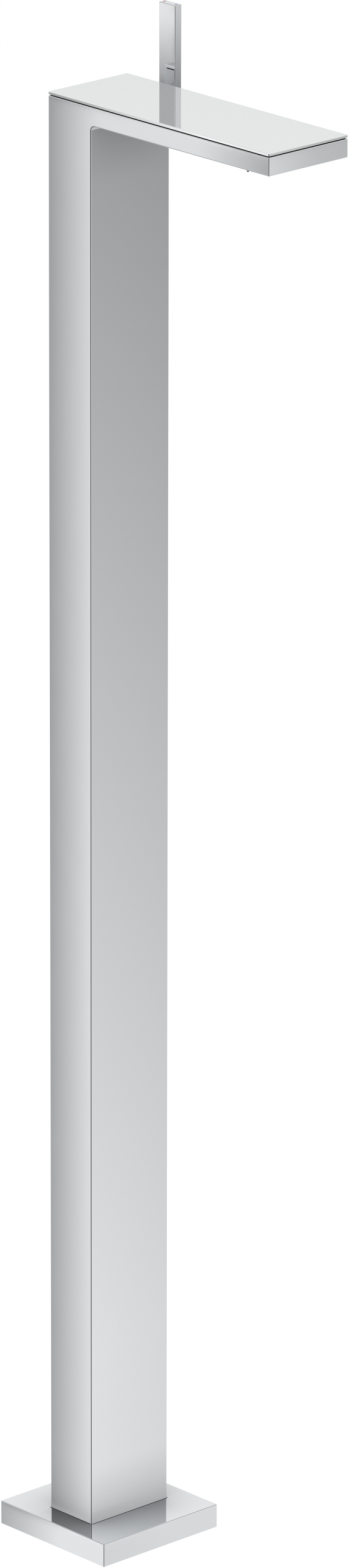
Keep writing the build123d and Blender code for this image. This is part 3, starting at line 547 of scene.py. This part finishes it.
raw_brass = machined_metal(
    "raw_brass", bright=(0.83, 0.62, 0.30), dull=(0.52, 0.36, 0.16),
    smoothest=0.20, roughest=0.42, blotches=120.0, line_depth=0.000012,
)
grey_plastic = moulded_goods(
    "grey_plastic", colour=(0.30, 0.31, 0.32), flow=(0.26, 0.27, 0.28),
    smoothest=0.38, roughest=0.52, grain_depth=0.000015,
)
coat(raw_brass, "valve_block", "clamp_ring")
coat(grey_plastic, "block_spacer")


# The cartridge: a plastic body round two lapped ceramic discs. The turning guide holds the pivot
# pin, and the coupler carries the moving disc on the stem's ball end.

white_plastic = moulded_goods(
    "white_plastic", colour=(0.76, 0.75, 0.71), flow=(0.70, 0.69, 0.65),
    smoothest=0.30, roughest=0.45, grain_depth=0.00001,
)

ceramic_white, on, shader = new_finish("ceramic_white", Metallic=0.0, Coat_Weight=0.4)
speck = on.add("ShaderNodeTexVoronoi", Vector=on.place(), Scale=5200.0).outputs["Distance"]
fired = on.between(speck, (0.86, 0.85, 0.82, 1.0), (0.78, 0.77, 0.73, 1.0))
fed(on, shader, fired, on.spread(speck, start=0.0, end=1.0, low=0.10, high=0.22))

coat(black_rubber, "cartridge_base_seal")
coat(white_plastic, "cartridge_base", "cartridge_housing")
coat(ceramic_white, "fixed_disc", "moving_disc")
coat(grey_plastic, "disc_coupler", "stem_guide")
coat(stainless, "pivot_pin", "lever_stem")


# The lever: a chromed bar on a round hub that tilts over the spherical dome on the column's side. A
# grub screw under a small plug holds the hub on the stem. Two enamel dots tell hot from cold.

# Painted shade near joints and painted dark reflections along corners and round tops.
small_chrome = chrome("small_chrome", reach=0.012, depth=0.6, crest=0.12, rim=0.55)
coat(small_chrome, "dome_sleeve", "handle_hub", "hub_plug", "lever_bar")
coat(stainless, "hub_grub_screw")


def enamel(name, colour, worn):
    """Fired enamel in a drilled pit, a little worn and uneven."""
    finish, on, shader = new_finish(name, Metallic=0.0, Coat_Weight=0.3)
    cloud = on.add("ShaderNodeTexNoise", Vector=on.place(), Scale=1500.0, Detail=3.0).outputs["Fac"]
    tone = on.between(cloud, (*colour, 1.0), (*worn, 1.0))
    wear = on.spread(cloud, start=0.0, end=1.0, low=0.20, high=0.45)
    fed(on, shader, tone, wear, cloud, depth=0.00001)
    return finish


coat(enamel("red_enamel", (0.30, 0.010, 0.010), (0.22, 0.008, 0.008)), "hot_mark")
coat(enamel("blue_enamel", (0.03, 0.045, 0.36), (0.02, 0.035, 0.27)), "cold_mark")


# The waterway and spray outlet: a moulded duct from the block to a flat chamber at the spout's tip.
# The chromed face below holds a silicone mat, whose soft nozzles poke through its holes.

grey_silicone = moulded_goods(
    "grey_silicone", colour=(0.060, 0.061, 0.063), flow=(0.050, 0.050, 0.052),
    smoothest=0.45, roughest=0.60, grain_depth=0.00001, Subsurface_Weight=0.05,
)
coat(grey_plastic, "spout_waterway", "spray_chamber")
coat(black_rubber, "waterway_rings")
coat(white_plastic, "flow_limiter")
coat(stainless, "spray_screws")
coat(small_chrome, "spray_face")
coat(grey_silicone, "nozzle_mat")


# The supply: two braided hoses up the column, with pressed steel sleeves, brass fittings in the
# block and brass tails with union nuts at the floor. Two foam blocks keep the hoses quiet.

braided_steel, on, shader = new_finish("braided_steel", Metallic=1.0)
place = on.place()
strand_pitch, strand_angle = 38.0, 45.0
strands = []
for lean in (1.0, -1.0):
    turn = (0.0, lean * radians(strand_pitch), lean * radians(strand_angle))
    leaning = on.add("ShaderNodeMapping", Vector=place, Rotation=turn).outputs["Vector"]
    strand = on.add(
        "ShaderNodeTexWave", {"bands_direction": "X"}, Vector=leaning, Scale=240.0, Distortion=0.3
    )
    strands.append(strand.outputs["Fac"])
woven = on.math("MAXIMUM", *strands)
tone = on.graded(woven, [(0.3, 0.10), (1.0, 0.66)])
sheen = on.spread(woven, start=0.0, end=1.0, low=0.55, high=0.25)
fed(on, shader, tone, sheen, woven, depth=0.0003)

black_foam = moulded_goods(
    "black_foam", colour=(0.020, 0.020, 0.022), flow=(0.012, 0.012, 0.013),
    smoothest=0.80, roughest=0.95, grain_depth=0.0004, grain=900.0,
)
coat(braided_steel, "hot_hose", "cold_hose")
coat(stainless, "hose_ferrules")
coat(raw_brass, "block_nipples", "inlet_tails", "union_nuts")
coat(black_rubber, "fitting_rings", "filter_washers")
coat(black_foam, "hose_spacers")


# The glass plate and its carrier: a black moulded tray, screwed to the spout's rim, that holds the
# plate on a sheet of bonding foam. Its set-back edge is the dark line under the glass. The plate
# is 2 mm float glass with polished edges, mirrored pale grey from behind, and its top is bare.

black_plastic = moulded_goods(
    "black_plastic", colour=(0.003, 0.003, 0.003), flow=(0.005, 0.005, 0.005),
    smoothest=0.55, roughest=0.70, grain_depth=0.00001,
)
bonding_foam = moulded_goods(
    "bonding_foam", colour=(0.68, 0.68, 0.66), flow=(0.60, 0.60, 0.58),
    smoothest=0.75, roughest=0.90, grain_depth=0.00005,
)
# The plate's upright rounded corners carry a painted dark reflection.
mirror_glass = polished(
    "mirror_glass", darker=(0.870, 0.890, 0.892), lighter=(0.884, 0.902, 0.904), clouds=5.0,
    shades=[(corner_dark_reflection, {"Crest": 0.05})],
    work={"Clearest": 0.01, "Haziest": 0.026, "Smudges": 14.0},
    wave_depth=0.000002, Metallic=0.7, Coat_Weight=0.15, Coat_Roughness=0.02,
)
coat(black_plastic, "plate_carrier")
coat(stainless, "carrier_screws")
coat(bonding_foam, "bonding_sheet")
coat(mirror_glass, "glass_plate")
